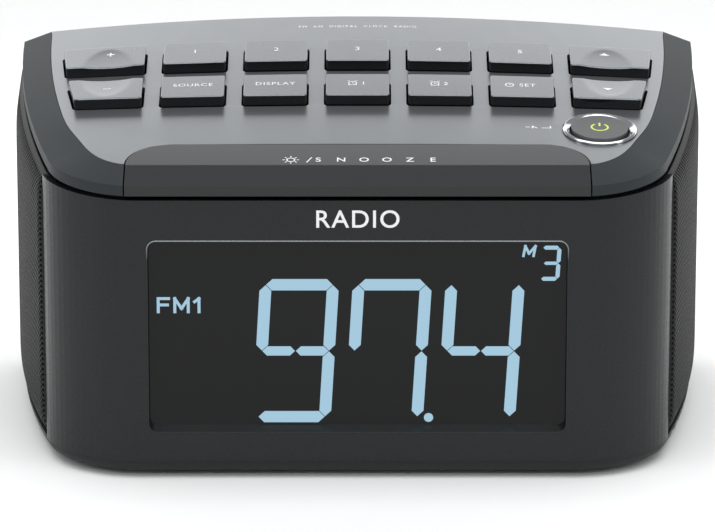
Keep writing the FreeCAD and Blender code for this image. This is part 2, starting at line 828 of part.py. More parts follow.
def key_switches():
    places = [centre for name, points, centre in key_layout()] + [(power_x, power_y)]
    return Part.makeCompound([tact_switch(x, slope_run(y)) for x, y in places])


# ---- power button and snooze bar ----

def at_power(shape):
    """Moves a shape drawn about Z onto the top surface at the power button, square to it."""
    run = (power_y - crease_y) / (y_back - crease_y)
    across = -2 * crown_drop * power_x / half_width ** 2 * run
    along = slope - crown_drop * (power_x / half_width) ** 2 / (y_back - crease_y)
    placed = shape.copy()
    place = FreeCAD.Placement(V(power_x, power_y, deck_z(power_x, power_y)),
                              FreeCAD.Rotation(UP, V(-across, -along, 1)))
    placed.Placement = place.multiply(placed.Placement)
    return placed


def power_ring():
    """Dished bright ring let into the panel."""
    low = seat_gap - ring_seat
    return at_power(turned([(ring_bore, -3.2), (ring_radius - 1, -3.2), (ring_radius - 1, low),
                            (ring_radius, low), (ring_radius, ring_proud * 0.6),
                            (ring_radius - 0.5, ring_proud), (ring_bore, 0.1)]))


def power_button():
    cap = rod(power_radius, 4.6, V(0, 0, -3.6))
    flange = rod(power_radius + 1.0, 1.0, V(0, 0, -4.5))
    neck = rod(power_radius - 1, 1.5, V(0, 0, -4.4))
    button = at_power(joined([cap, neck, flange]))
    return joined([button, stem(power_x, power_y, -4.2)])


def bar_stems():
    return [(-bar_stem_x, bar_stem_y), (bar_stem_x, bar_stem_y)]


def snooze_bar():
    """Bar across the front: flush with the panel behind its crease and with the trim in front of it."""
    under = crease_z - lip_drop - lip_height
    back = bar_rear + 3
    profile = [V(0, y_front, under), V(0, y_front, crease_z - lip_drop), V(0, crease_y, crease_z),
               V(0, back, deck_z(0, back)), V(0, back, under)]
    body = Part.Face(Part.makePolygon(profile + profile[:1])).extrude(V(2 * half_width, 0, 0))
    body.translate(V(-half_width, 0, 0))
    body = body.common(bar_plan(0.0).extrude(UP * (height + 5)))
    hollow = [V(0, y_front + bar_wall, under - 1), V(0, y_front + bar_wall, crease_z - lip_drop - 1.6),
              V(0, crease_y, crease_z - bar_wall), V(0, back, deck_z(0, back) - bar_wall),
              V(0, back, under - 1)]
    inside = Part.Face(Part.makePolygon(hollow + hollow[:1])).extrude(V(2 * half_width, 0, 0))
    inside.translate(V(-half_width, 0, 0))
    inside = inside.common(bar_plan(-bar_wall).extrude(UP * (height + 5)))
    body = body.cut(inside)
    floor = bar_well_floor() + board_thickness + seat_gap
    stems = [rod(stem_radius, deck_z(0, y) - bar_wall + 0.5 - floor - switch_height + 1.4,
                 V(x, y, floor + switch_height - 1.4)) for x, y in bar_stems()]
    return joined([body] + stems)


def snooze_board():
    floor = bar_well_floor() + seat_gap
    return box(-bar_stem_x - 6, bar_stem_x + 6, bar_stem_y - 5, bar_stem_y + 5, floor, floor + board_thickness)


def snooze_switches():
    floor = bar_well_floor() + 2 * seat_gap + board_thickness
    half = switch_size / 2
    solids = []
    for x, y in bar_stems():
        body = box(x - half, x + half, y - half, y + half, floor, floor + switch_height - seat_gap)
        solids.append(body.cut(rod(stem_radius + 0.1, switch_height, V(x, y, floor + 0.9))))
    return Part.makeCompound(solids)


# ---- speakers ----

def speaker_place(side):
    """Frame on the inner face of the side wall, its Z pointing out of the radio."""
    inset = seat_inset + side_wall
    t = side_t(speaker_y, inset)
    x, y = plan_point("side", side, t, inset)
    angle = (math.pi / 2 - turn) * (1 - t)
    outward = V(side * math.cos(angle), -math.sin(angle), 0)
    return FreeCAD.Placement(V(x, y, speaker_z), FreeCAD.Rotation(UP, outward))


def speaker_screw_ring():
    reach = (speaker_flange + speaker_hole) / 2
    return [(reach * math.cos(math.radians(a)), reach * math.sin(math.radians(a))) for a in (45, 135, 225, 315)]


def speaker_basket():
    seat = -speaker_pad - seat_gap
    shape = turned([(cone_radius + 0.6, seat), (speaker_flange, seat), (speaker_flange, seat - 1.4),
                    (cone_radius + 1.2, seat - 1.4), (15.0, seat - cone_seat + 1.5), (15.0, seat - cone_seat),
                    (8.0, seat - cone_seat), (8.0, seat - cone_seat + 1.5), (13.6, seat - cone_seat + 1.5),
                    (cone_radius + 0.6, seat - 2.0)])
    holes = [rod(screw_radius + 0.2, 5, V(x, y, seat - 3)) for x, y in speaker_screw_ring()]
    return shape.cut(Part.makeCompound(holes))


def speaker_cone():
    """Surround, paper cone, dust cap and voice coil former in one."""
    seat = -speaker_pad - seat_gap
    return turned([(0, seat - 7.5), (5, seat - 8.6), (6.5, seat - 9.6), (19.5, seat - 1.9), (22.0, seat - 0.6),
                   (cone_radius + 0.4, seat - 0.6), (cone_radius + 0.4, seat - 1.6), (22.0, seat - 1.6),
                   (20.0, seat - 2.9), (7.0, seat - 11.0), (7.0, seat - 15.0), (6.2, seat - 15.0),
                   (6.2, seat - 10.4), (0, seat - 8.6)])


def speaker_magnet():
    seat = -speaker_pad - seat_gap - cone_seat - seat_gap
    return turned([(0, seat - magnet_length), (magnet_radius, seat - magnet_length), (magnet_radius, seat),
                   (0, seat)])


def speaker_screws(side):
    seat = -speaker_pad - seat_gap - 1.4 - seat_gap
    return [screw(V(x, y, seat), UP, 4.2) for x, y in speaker_screw_ring()]


def set_in(side, shape):
    placed = shape.copy()
    placed.Placement = speaker_place(side).multiply(placed.Placement)
    return placed


# ---- electronics, battery and fasteners ----

def screw(base, axis, length):
    """Pan-head screw: its head sits behind base, its shank points along axis."""
    head = rod(screw_head, screw_head_height, base, axis * -1)
    slot = Part.makeBox(0.8, 2 * screw_head, 0.7, V(-0.4, -screw_head, -screw_head_height))
    slot.Placement = FreeCAD.Placement(base, FreeCAD.Rotation(UP, axis))
    return joined([head, rod(screw_radius, length, base, axis)]).cut(slot)


def main_board():
    board = box(-main_half, main_half, main_front, main_rear, main_board_z + seat_gap,
                main_board_z + board_thickness)
    holes = [rod(screw_radius + 0.2, 5, V(x, y, main_board_z - 1)) for x, y in base_posts()]
    return board.cut(Part.makeCompound(holes))


def board_top():
    return main_board_z + board_thickness + seat_gap


def board_chips():
    z = board_top()
    return Part.makeCompound([box(*outline, z, z + chip_height) for outline in chip_outlines])


def board_capacitors():
    z = board_top()
    return Part.makeCompound([rod(r, h, V(x, y, z)) for x, y, r, h in capacitor_cans])


def tuner_shield():
    z = board_top()
    x0, x1, y0, y1 = shield_outline
    shell = box(x0, x1, y0, y1, z, z + shield_height)
    return shell.cut(box(x0 + shield_wall, x1 - shield_wall, y0 + shield_wall, y1 - shield_wall,
                         z - 1, z + shield_height - shield_wall))


def dc_jack():
    z = board_top()
    body = box(dc_x - 4.5, dc_x + 4.5, rear_face - jack_depth, rear_face - 0.3, z, socket_z + 5)
    nose = rod(4.6, rear_thickness + 0.3, V(dc_x, rear_face - 0.4, socket_z), V(0, 1, 0))
    jack = joined([body, nose]).cut(rod(dc_bore, 11, V(dc_x, y_back - 11, socket_z), V(0, 1, 0)))
    return joined([jack, rod(1.0, 11, V(dc_x, y_back - 12, socket_z), V(0, 1, 0))])


def aux_jack():
    z = board_top()
    body = box(aux_x - 4, aux_x + 4, rear_face - jack_depth, rear_face - 0.3, z, socket_z + 4.5)
    nose = rod(4.0, rear_thickness + 0.3, V(aux_x, rear_face - 0.4, socket_z), V(0, 1, 0))
    return joined([body, nose]).cut(rod(aux_bore, 14, V(aux_x, y_back - 14, socket_z), V(0, 1, 0)))


def antenna_gland():
    """Rubber bush in the rear cover, where the wire aerial would come out."""
    z = socket_z + 30
    bush = rod(3.4, rear_thickness - 0.1, V(gland_x, rear_face, z), V(0, 1, 0))
    collar = rod(5.0, 1.2, V(gland_x, rear_face - 1.25, z), V(0, 1, 0))
    bush = joined([bush, collar, rod(3.4, 1.0, V(gland_x, rear_face - 0.5, z), V(0, 1, 0))])
    return bush.cut(rod(1.0, 8, V(gland_x, rear_face - 3, z), V(0, 1, 0)))


def ferrite_rod():
    return rod(ferrite_radius, ferrite_length, V(-ferrite_length / 2, ferrite_y, ferrite_z), V(1, 0, 0))


def rod_coil():
    return tube(ferrite_radius + 1.2, ferrite_radius + 0.05, 26, V(-13, ferrite_y, ferrite_z), V(1, 0, 0))


def key_ribbon():
    """Flat cable from the key board down to the main board."""
    y = key_board_rear - 11.5
    z_top = deck_z(0, y) - (key_board_drop + board_thickness) / cos_tilt - 0.4
    return box(*key_ribbon_span, y, y + ribbon_thickness, board_top() + 0.1, z_top)


def cell_places():
    return [cell_y - cell_pitch / 2, cell_y + cell_pitch / 2]


def battery_cells():
    z = battery_bay()[2] + bay_gap / 2 + cell_radius
    cells = []
    for y, direction in zip(cell_places(), (1, -1)):
        start = V(-direction * cell_length / 2, y, z)
        body = rod(cell_radius, cell_length - 1.5, start, V(direction, 0, 0))
        cap = rod(2.6, cell_length, start, V(direction, 0, 0))
        cells.append(joined([body, cap]))
    return Part.makeCompound(cells)


def battery_contacts():
    """Sprung contact plates at both ends of the bay."""
    half_x, half_y, floor, roof = battery_bay()
    z = floor + bay_gap / 2 + cell_radius
    solids = []
    for sx in (-1, 1):
        for y in cell_places():
            x = sx * (half_x - 0.35)
            blade = box(x - 0.3, x + 0.3, y - 5, y + 5, z - 5, z + 5)
            reach = half_x - 0.6 - cell_length / 2 - seat_gap
            tip = rod(2.0, reach, V(x, y, z), V(-sx, 0, 0))
            solids.append(joined([blade, tip]))
    return Part.makeCompound(solids)


def battery_door():
    """Plate under the bay that slides out to the rear on its side tongues."""
    half_x, half_y, floor, roof = battery_bay()
    rear = cell_y + half_y + bay_wall + door_overlap
    door = door_shape(0.0, rear)
    grip = [rod(0.5, 24, V(-12, rear - 5 - 2.5 * i, foot_height + seat_gap), V(1, 0, 0)) for i in range(3)]
    return door.cut(Part.makeCompound(grip))


def case_screws():
    return [screw(V(x, y, foot_height + screw_head_height + 0.2), UP, 13) for x, y in case_screw_places()]


def rear_screws():
    return [screw(V(sx * post_x, y_back - screw_head_height, post_z), V(0, -1, 0), 12) for sx in (-1, 1)]


def board_screws():
    return [screw(V(x, y, board_top()), V(0, 0, -1), 8) for x, y in base_posts()]


def deck_screws():
    under = -key_board_drop - board_thickness - seat_gap
    return [on_deck(screw(V(x, slope_run(y), under), UP, 7)) for x, y in key_board_screws()]


# ---- writing out ----

def write(name, shape):
    placed = shape.copy()
    placed.translate(V(0, -y_middle, 0))
    solids = placed.Solids
    print(name, len(solids), round(sum(s.Volume for s in solids)), placed.isValid())
    result = solids[0] if len(solids) == 1 else Part.makeCompound(solids)
    result.exportStep(os.path.join("parts", name + ".step"))


def write_all():
    os.makedirs("parts", exist_ok=True)
    write("base_tray", base_tray())
    write("foot_strips", foot_strips())
    write("front_shell", front_shell())
    write("rear_cover", rear_cover())
    write("top_trim", top_trim())
    write("top_panel", top_panel())
    write("display_lens", display_lens())
    write("lcd_glass", lcd_glass())
    write("lcd_holder", lcd_holder())
    write("light_guide", light_guide())
    write("display_board", display_board())
    write("display_ribbon", display_ribbon())
    for name, points, centre in key_layout():
        write(name, key_cap(points, centre))
    write("key_board", key_board())
    write("key_switches", key_switches())
    write("key_ribbon", key_ribbon())
    write("power_ring", power_ring())
    write("power_button", power_button())
    write("snooze_bar", snooze_bar())
    write("snooze_board", snooze_board())
    write("snooze_switches", snooze_switches())
    for side, label in ((-1, "left"), (1, "right")):
        write("grille_" + label, grille(side))
        write("speaker_basket_" + label, set_in(side, speaker_basket()))
        write("speaker_cone_" + label, set_in(side, speaker_cone()))
        write("speaker_magnet_" + label, set_in(side, speaker_magnet()))
    both = [set_in(side, s) for side in (-1, 1) for s in speaker_screws(side)]
    write("speaker_screws", Part.makeCompound(both))
    write("main_board", main_board())
    write("board_chips", board_chips())
    write("board_capacitors", board_capacitors())
    write("tuner_shield", tuner_shield())
    write("dc_jack", dc_jack())
    write("aux_jack", aux_jack())
    write("antenna_gland", antenna_gland())
    write("ferrite_rod", ferrite_rod())
    write("rod_coil", rod_coil())
    write("battery_cells", battery_cells())
    write("battery_contacts", battery_contacts())
    write("battery_door", battery_door())
    write("case_screws", Part.makeCompound(case_screws()))
    write("rear_screws", Part.makeCompound(rear_screws()))
    write("board_screws", Part.makeCompound(board_screws()))
    write("key_board_screws", Part.makeCompound(deck_screws()))


write_all()
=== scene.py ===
import json
import math
import bpy
import bmesh
from mathutils import Matrix, Vector


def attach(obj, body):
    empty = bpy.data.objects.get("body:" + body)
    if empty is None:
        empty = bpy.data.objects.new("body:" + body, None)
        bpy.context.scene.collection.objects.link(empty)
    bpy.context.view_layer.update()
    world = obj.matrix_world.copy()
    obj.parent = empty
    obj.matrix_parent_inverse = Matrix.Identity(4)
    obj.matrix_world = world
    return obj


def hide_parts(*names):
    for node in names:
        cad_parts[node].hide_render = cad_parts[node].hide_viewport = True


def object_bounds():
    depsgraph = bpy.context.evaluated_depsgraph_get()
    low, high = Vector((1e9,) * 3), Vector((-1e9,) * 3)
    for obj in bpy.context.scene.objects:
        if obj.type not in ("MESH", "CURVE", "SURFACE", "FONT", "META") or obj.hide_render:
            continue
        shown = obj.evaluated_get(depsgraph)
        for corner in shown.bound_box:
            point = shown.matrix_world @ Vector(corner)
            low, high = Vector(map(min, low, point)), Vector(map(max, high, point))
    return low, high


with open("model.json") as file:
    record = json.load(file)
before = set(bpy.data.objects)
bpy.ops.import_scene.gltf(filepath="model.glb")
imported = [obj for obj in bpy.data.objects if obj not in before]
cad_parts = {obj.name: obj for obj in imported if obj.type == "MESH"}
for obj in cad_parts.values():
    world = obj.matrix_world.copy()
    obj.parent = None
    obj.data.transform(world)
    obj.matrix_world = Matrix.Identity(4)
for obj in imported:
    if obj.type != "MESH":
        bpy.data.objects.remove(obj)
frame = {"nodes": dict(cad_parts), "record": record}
cadBox = [list(corner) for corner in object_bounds()]

# All sizes are in millimetres; Y is 0 on the cabinet's front face while a piece is shaped.
mm = 0.001
radio = {"width": 195.6, "depth": 108.0, "height": 105.8, "creaseZ": 89.0, "crownDrop": 5.5,
         "cornerRadius": 26.0, "cornerTurn": math.radians(75), "lip": 1.0, "bandWidth": 10.0,
         "bandNarrowing": 1.8, "cabinetDrop": 7.6, "boxGap": 0.05}
halfWidth = radio["width"] / 2
frontY = -radio["lip"]
backY = radio["depth"] + frontY
creaseY = frontY + radio["bandWidth"]
slope = (radio["height"] - radio["creaseZ"]) / (backY - creaseY)
tilt = math.atan(slope)
turn = radio["cornerTurn"]
sideRadius = (radio["depth"] - radio["cornerRadius"] * (1 - math.cos(turn))) / math.cos(turn)
sideCentre = halfWidth - sideRadius
straightHalf = sideCentre + (sideRadius - radio["cornerRadius"]) * math.sin(turn)
cornerEnd = frontY + radio["cornerRadius"] * (1 - math.cos(turn))
widest = cadBox[1][0] / mm - radio["boxGap"]
toFrame = Matrix.Scale(mm, 4) @ Matrix.Translation((0, cadBox[0][1] / mm - frontY, 0))


def deckZ(x, y):
    run = (y - creaseY) / (backY - creaseY)
    return radio["creaseZ"] + slope * (y - creaseY) - radio["crownDrop"] * (x / halfWidth) ** 2 * run


def sidePoint(y, inset):
    radius = sideRadius - inset
    return sideCentre + math.sqrt(radius ** 2 - (backY - y) ** 2)


def onDeck(x, y, up):
    # a point on the sloping top, raised square to the slope
    return Vector((x, y - up * math.sin(tilt), deckZ(x, y) + up * math.cos(tilt)))


# ---- camera ----
view = {"lens": 271.9, "sensor": 36.0, "back": 1.4256, "height": 0.5085, "down": 17.36}
camera = bpy.data.objects.new("camera", bpy.data.cameras.new("camera"))
bpy.context.scene.collection.objects.link(camera)
camera.data.lens = view["lens"]
camera.data.sensor_width = view["sensor"]
camera.location = (0, cadBox[0][1] - view["back"], view["height"])
camera.rotation_euler = (math.radians(90 - view["down"]), 0, 0)
bpy.context.scene.camera = camera


# ---- materials ----
def hexColour(text):
    # sRGB hex to linear
    channels = [int(text[i:i + 2], 16) / 255 for i in (1, 3, 5)]
    return [c / 12.92 if c <= 0.04045 else ((c + 0.055) / 1.055) ** 2.4 for c in channels] + [1.0]


def addNode(tree, kind, values=None, links=None, **settings):
    node = tree.nodes.new(kind)
    for key, value in settings.items():
        setattr(node, key, value)
    for key, value in (values or {}).items():
        node.inputs[key].default_value = value
    for key, source in (links or {}).items():
        tree.links.new(source, node.inputs[key])
    return node


finish = {"mottleMm": 12, "reliefStrength": 0.5}


def newMaterial(name, colour, roughness, mottle=0.06, grainMm=0.6, grainDepth=0.02, roughSpread=0.05,
                **shader):
    # a moulded, painted or plated surface: faint colour mottle, uneven gloss and a fine grain in relief
    material = bpy.data.materials.new(name)
    material.use_nodes = True
    tree = material.node_tree
    tree.nodes.clear()
    place = addNode(tree, "ShaderNodeTexCoord").outputs["Object"]
    broad = addNode(tree, "ShaderNodeTexNoise", {"Scale": 1 / (finish["mottleMm"] * mm), "Detail": 3.0},
                    {"Vector": place})
    grain = addNode(tree, "ShaderNodeTexNoise", {"Scale": 1 / (grainMm * mm), "Detail": 4.0},
                    {"Vector": place})
    base = hexColour(colour)
    dark = [c * (1 - mottle) for c in base[:3]] + [1.0]
    light = [min(1.0, c * (1 + mottle)) for c in base[:3]] + [1.0]
    tint = addNode(tree, "ShaderNodeMix", {"A": dark, "B": light}, {"Factor": broad.outputs["Fac"]},
                   data_type="RGBA")
    gloss = addNode(tree, "ShaderNodeMapRange", {"To Min": max(0.02, roughness - roughSpread),
                                                 "To Max": min(1.0, roughness + roughSpread)},
                    {"Value": grain.outputs["Fac"]})
    relief = addNode(tree, "ShaderNodeBump",
                     {"Strength": finish["reliefStrength"], "Distance": grainDepth * mm},
                     {"Height": grain.outputs["Fac"]})
    values = {key.replace("_", " "): value for key, value in shader.items()}
    skin = addNode(tree, "ShaderNodeBsdfPrincipled", values,
                   {"Base Color": tint.outputs["Result"], "Roughness": gloss.outputs["Result"],
                    "Normal": relief.outputs["Normal"]})
    addNode(tree, "ShaderNodeOutputMaterial", links={"Surface": skin.outputs["BSDF"]})
    return material


def litMaterial(name, colour, strength):
    # light from the display, evened out by its guide
    material = newMaterial(name, "#0A0C0E", 0.5, mottle=0.03)
    skin = material.node_tree.nodes["Principled BSDF"]
    skin.inputs["Emission Color"].default_value = hexColour(colour)
    skin.inputs["Emission Strength"].default_value = strength
    return material


# dull black plastics shine less than their base resin
lowSheen = {"IOR": 1.5, "Specular_IOR_Level": 0.3}


def brightToTop(material, low, high, least):
    # paints light and shade into a colour: dims it from a height of high down to low, as light from above
    # would fall on a rounded edge
    tree = material.node_tree
    skin = tree.nodes["Principled BSDF"]
    place = addNode(tree, "ShaderNodeTexCoord").outputs["Object"]
    parts = addNode(tree, "ShaderNodeSeparateXYZ", links={"Vector": place})
    # painted shade: the colour is scaled from least at the height low up to full at the height high
    level = addNode(tree, "ShaderNodeMapRange",
                    {"From Min": low * mm, "From Max": high * mm, "To Min": least},
                    {"Value": parts.outputs["Z"]})
    tint = skin.inputs["Base Color"].links[0].from_socket
    shade = addNode(tree, "ShaderNodeVectorMath", links={0: tint, "Scale": level.outputs["Result"]},
                    operation="SCALE")
    tree.links.new(shade.outputs["Vector"], skin.inputs["Base Color"])
    return material


materials = {
    # satin ABS, polished tool: dark and even, with a soft sheen
    "cabinet_plastic": newMaterial("satinAbs", "#171B1C", 0.28, grainMm=2.0, grainDepth=0.001,
                                   **lowSheen),
    # ABS from a spark-eroded tool: a fine dull grain
    "base_plastic": newMaterial("grainedAbs", "#1A1D1E", 0.5, grainMm=0.5, grainDepth=0.02,
                                **lowSheen),
    # textured ABS of the bevelled band: fine grain that scatters the light evenly
    "trim_plastic": newMaterial("texturedAbs", "#2B3032", 0.5, grainMm=0.35, grainDepth=0.03, IOR=1.5,
                                Specular_IOR_Level=0.2),
    # metallic paint: aluminium flake under a satin lacquer
    "panel_paint": newMaterial("flakePaint", "#86898C", 0.3, grainMm=0.15, grainDepth=0.004, Metallic=0.75,
                               Coat_Weight=0.15, Coat_Roughness=0.25),
    # nitrile rubber: dull and slightly dusty
    "foot_rubber": newMaterial("nitrileRubber", "#111111", 0.8, grainMm=0.4, grainDepth=0.03),
    # smoked acrylic: a polished, almost black window
    "lens_acrylic": newMaterial("smokedAcrylic", "#0B0C0D", 0.12, mottle=0.02, grainMm=4.0,
                                grainDepth=0.001, roughSpread=0.02, IOR=1.49, Specular_IOR_Level=0.25),
    # glass over the unlit display: near black and polished
    "lcd": newMaterial("displayGlass", "#14171A", 0.08, mottle=0.02, grainDepth=0.0, IOR=1.52),
    # white moulded styrene of the display's holder: plain, with a soft gloss
    "inner_plastic": newMaterial("whiteStyrene", "#E0E0DA", 0.45, IOR=1.57),
    # clear acrylic, polished: spreads the display's light
    "guide_acrylic": newMaterial("clearAcrylic", "#D5E2EA", 0.1, roughSpread=0.02, IOR=1.49),
    # solder mask over copper on glass epoxy
    "circuit_board": newMaterial("solderMask", "#2B5733", 0.35, mottle=0.12, grainMm=1.5, IOR=1.55),
    # tinned ribbon in polyester film: pale and slightly shiny
    "ribbon": newMaterial("polyesterRibbon", "#C4C4BE", 0.4),
    # moulded nylon of the switches: dark and fairly dull
    "switch_plastic": newMaterial("mouldedNylon", "#1C1C1C", 0.5, grainDepth=0.02),
    # the keys' own metallic paint, a little darker than the panel's
    "key_plastic": newMaterial("keyFlakePaint", "#7D8083", 0.27, grainMm=0.15, grainDepth=0.003,
                               Metallic=0.75, Coat_Weight=0.2, Coat_Roughness=0.2),
    # satin ABS of the power button's cap
    "button_plastic": newMaterial("buttonAbs", "#4B4E4E", 0.38, grainMm=0.4, grainDepth=0.01, IOR=1.5),
    # ABS with a satin lacquer: the bar's long faces
    "bar_plastic": newMaterial("lacqueredAbs", "#1F2224", 0.22, grainMm=0.6, grainDepth=0.002, IOR=1.5,
                               Specular_IOR_Level=0.7),
    # nickel-chrome plating on ABS: bright, with faint waviness from the moulding
    "ring_chrome": newMaterial("chromePlate", "#C9CCCE", 0.12, mottle=0.03, grainMm=3.0, grainDepth=0.01,
                               roughSpread=0.03, Metallic=1.0),
    # black paint over perforated sheet
    "grille_mesh": newMaterial("blackMeshPaint", "#08090A", 0.45, grainMm=0.4, grainDepth=0.01, IOR=1.5,
                               Specular_IOR_Level=0.2),
    # blacked steel of the speaker's basket: dark, with a low metal sheen
    "basket_steel": newMaterial("blackedSteel", "#262626", 0.4, Metallic=0.4),
    # pressed paper pulp: brown-black, fibrous and matt
    "cone_paper": newMaterial("pulpPaper", "#1B1917", 0.85, mottle=0.15, grainMm=1.2, grainDepth=0.08),
    # sintered ferrite: grey-black and faintly rough
    "ferrite": newMaterial("sinteredFerrite", "#2A2A2C", 0.55, grainDepth=0.03),
    # enamelled copper wire: a warm gloss
    "copper_wire": newMaterial("enamelledCopper", "#B0693A", 0.3, Metallic=0.9),
    # drawn aluminium of the cans: bright and slightly soft
    "can_aluminium": newMaterial("drawnAluminium", "#C2C5C7", 0.3, Metallic=1.0),
    # printed foil jacket of the cells: a plain blue-grey gloss
    "cell_jacket": newMaterial("cellJacket", "#34465A", 0.3),
    # nickelled spring steel: bright, a little warm
    "spring_steel": newMaterial("nickelledSteel", "#C4C4BF", 0.25, Metallic=1.0),
    # blacked steel screws: dark metal with worn shine
    "screw_steel": newMaterial("blackedScrew", "#3A3A3C", 0.35, Metallic=0.8),
}
# high gloss ABS of the keys' sides
keySide = newMaterial("glossAbs", "#0C0D0E", 0.12, mottle=0.03, grainMm=3.0, grainDepth=0.001, IOR=1.5)
# polished dark edge of the window, with a painted highlight along its top and painted shade below it, set by
# height
paintedHighlightBand = {"low": 64.0, "high": 70.0, "least": 0.12}
beadPaintedHighlight = brightToTop(newMaterial("polishedEdgePaintedHighlight", "#8F9396", 0.2, mottle=0.02, grainMm=3.0,
                                    grainDepth=0.002, Metallic=0.9),
                        paintedHighlightBand["low"], paintedHighlightBand["high"], paintedHighlightBand["least"])
# screen-printed white ink
whiteInk = newMaterial("whiteInk", "#F2F3F2", 0.6, mottle=0.02, grainDepth=0.005)
# the plain word above the window, in hot-stamped silver-white foil
wordFoil = newMaterial("whiteFoil", "#E9EBEC", 0.4, mottle=0.02, grainDepth=0.005)
# the power mark, in yellow-green ink
markInk = newMaterial("limeInk", "#D6E36A", 0.5, mottle=0.03, grainDepth=0.005)
# pale blue light of the display's segments
litBlue = litMaterial("litSegment", "#A3C9DE", 0.94)
# open-weave cloth behind the grilles, almost black
clothBlack = newMaterial("speakerCloth", "#070808", 0.9, mottle=0.1, grainMm=0.5, grainDepth=0.05)
print("materials ready")

slotOf = {row["node"]: row["material_slot"] for row in frame["record"]["subparts"]}
for name, node in frame["nodes"].items():
    for place in node.material_slots:
        place.material = materials[slotOf[name]]


# ---- helpers for pieces ----
def addPiece(name, bm, body, mats, stands=(), smooth=35, bevel=0.0, placed=False):
    bmesh.ops.recalc_face_normals(bm, faces=bm.faces)
    if not placed:
        bm.transform(toFrame)
    mesh = bpy.data.meshes.new(name)
    bm.to_mesh(mesh)
    bm.free()
    for material in mats:
        mesh.materials.append(material)
    mesh.shade_smooth()
    mesh.set_sharp_from_angle(angle=math.radians(smooth))
    piece = bpy.data.objects.new(name, mesh)
    bpy.context.scene.collection.objects.link(piece)
    if bevel:
        edge = piece.modifiers.new("edge", "BEVEL")
        edge.width = bevel * mm
        edge.segments = 3
        edge.limit_method = "ANGLE"
        edge.angle_limit = math.radians(smooth)
        edge.harden_normals = True
        edge.miter_outer = "MITER_ARC"
    settle = piece.modifiers.new("flats", "WEIGHTED_NORMAL")
    settle.keep_sharp = True
    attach(piece, body)
    if stands:
        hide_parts(*stands)
    return piece


swelling = {"most": 2.5, "blend": 0.25, "skin": 3.3, "rearTaper": 8}


def sideSwell(y):
    # how far the sides stand out past the lip; never past the widest point
    wanted = swelling["most"]
    room = widest - sidePoint(y, 0.0)
    return (wanted + room) / 2 - math.hypot((wanted - room) / 2, swelling["blend"])


def fillOut(bm):
    # swell the skin of the cabinet's corners and the base's sides to meet the grilles
    shift = toFrame.translation.y / mm
    for vert in bm.verts:
        x, y = abs(vert.co.x) / mm, vert.co.y / mm - shift
        if x < straightHalf or y < frontY:
            continue
        front = frontY + radio["cornerRadius"]
        inset = (radio["cornerRadius"] - math.hypot(x - straightHalf, front - y) if y < cornerEnd
                 else sideRadius - math.hypot(x - sideCentre, backY - y))
        if inset > swelling["skin"]:
            continue
        part = min(1.0, (x - straightHalf) / (sidePoint(cornerEnd, 1.0) - straightHalf))
        taper = min(1.0, (backY - y) / swelling["rearTaper"])
        vert.co.x += math.copysign(sideSwell(max(y, cornerEnd)) * part ** 2 * taper * mm, vert.co.x)


def refined(node, name, body, bevel, mats=None, reshape=None):
    # a merged copy of a CAD shape, with its edges eased
    bm = bmesh.new()
    bm.from_mesh(frame["nodes"][node].data)
    bmesh.ops.remove_doubles(bm, verts=bm.verts, dist=0.002 * mm)
    if reshape:
        reshape(bm)
    if mats:
        # the second material goes on the faces that look forwards
        for face in bm.faces:
            face.material_index = 1 if face.normal.y < -0.95 else 0
    return addPiece(name, bm, body, mats or [materials[slotOf[node]]], [node],
                    bevel=bevel, placed=True)


def outlineFace(bm, points, z, radius, segments=6):
    # a flat face with rounded corners
    verts = [bm.verts.new((x, y, z)) for x, y in points]
    bm.faces.new(verts)
    bmesh.ops.bevel(bm, geom=verts, offset=radius, segments=segments, profile=0.5, affect="VERTICES",
                    material=-1)


def raiseFaces(bm, offset):
    made = bmesh.ops.extrude_face_region(bm, geom=bm.faces[:])
    moved = [item for item in made["geom"] if isinstance(item, bmesh.types.BMVert)]
    bmesh.ops.translate(bm, vec=offset, verts=moved)


inkDepth = 0.03


def lettering(text, height, spacing=1.0, weight=0.0):
    # letters as a flat mesh, centred, in millimetres; a capital is 0.73 of the font's size
    curve = bpy.data.curves.new("letters", "FONT")
    curve.body = text
    curve.size = height / 0.73
    curve.align_x = "CENTER"
    curve.align_y = "CENTER"
    curve.space_character = spacing
    curve.offset = weight
    curve.extrude = inkDepth / 2
    curve.resolution_u = 6
    holder = bpy.data.objects.new("letters", curve)
    bpy.context.scene.collection.objects.link(holder)
    bpy.context.view_layer.update()
    mesh = bpy.data.meshes.new_from_object(holder.evaluated_get(bpy.context.evaluated_depsgraph_get()))
    bm = bmesh.new()
    bm.from_mesh(mesh)
    bmesh.ops.remove_doubles(bm, verts=bm.verts, dist=0.0005)
    bpy.data.objects.remove(holder)
    bpy.data.meshes.remove(mesh)
    return bm


def layOnDeck(bm, x, y, up):
    # X across and Y up the slope
    for vert in bm.verts:
        vert.co = onDeck(x + vert.co.x, y + vert.co.y * math.cos(tilt), up + vert.co.z)


def standInFront(bm, x, z, y):
    for vert in bm.verts:
        vert.co = Vector((x + vert.co.x, y - vert.co.z, z + vert.co.y))


# ---- casing ----
casing = {"front_shell": 0.35, "base_tray": 0.3, "rear_cover": 0.3, "top_trim": 0.3, "top_panel": 0.15,
          "foot_strips": 0.3, "power_ring": 0.12, "dc_jack": 0.1, "aux_jack": 0.1, "antenna_gland": 0.2}
pieceNames = {"front_shell": "cabinetFront", "base_tray": "baseTray", "rear_cover": "rearCover",
              "top_trim": "bevelledBand", "top_panel": "slopingPanel", "foot_strips": "footStrips",
              "power_ring": "powerRing", "dc_jack": "supplyInlet", "aux_jack": "audioSocket",
              "antenna_gland": "aerialGland"}
for node, bevel in casing.items():
    refined(node, pieceNames[node], "cabinet", bevel,
            reshape=fillOut if node in ("front_shell", "base_tray") else None)
refined("snooze_bar", "snoozeBar", "snooze_bar", 0.35, mats=[materials["bar_plastic"], keySide])
refined("power_button", "powerCap", "power_button", 0.45)
refined("battery_door", "batteryDoor", "battery_door", 0.15)
refined("display_lens", "windowLens", "cabinet", 0.2)
print("casing ready")

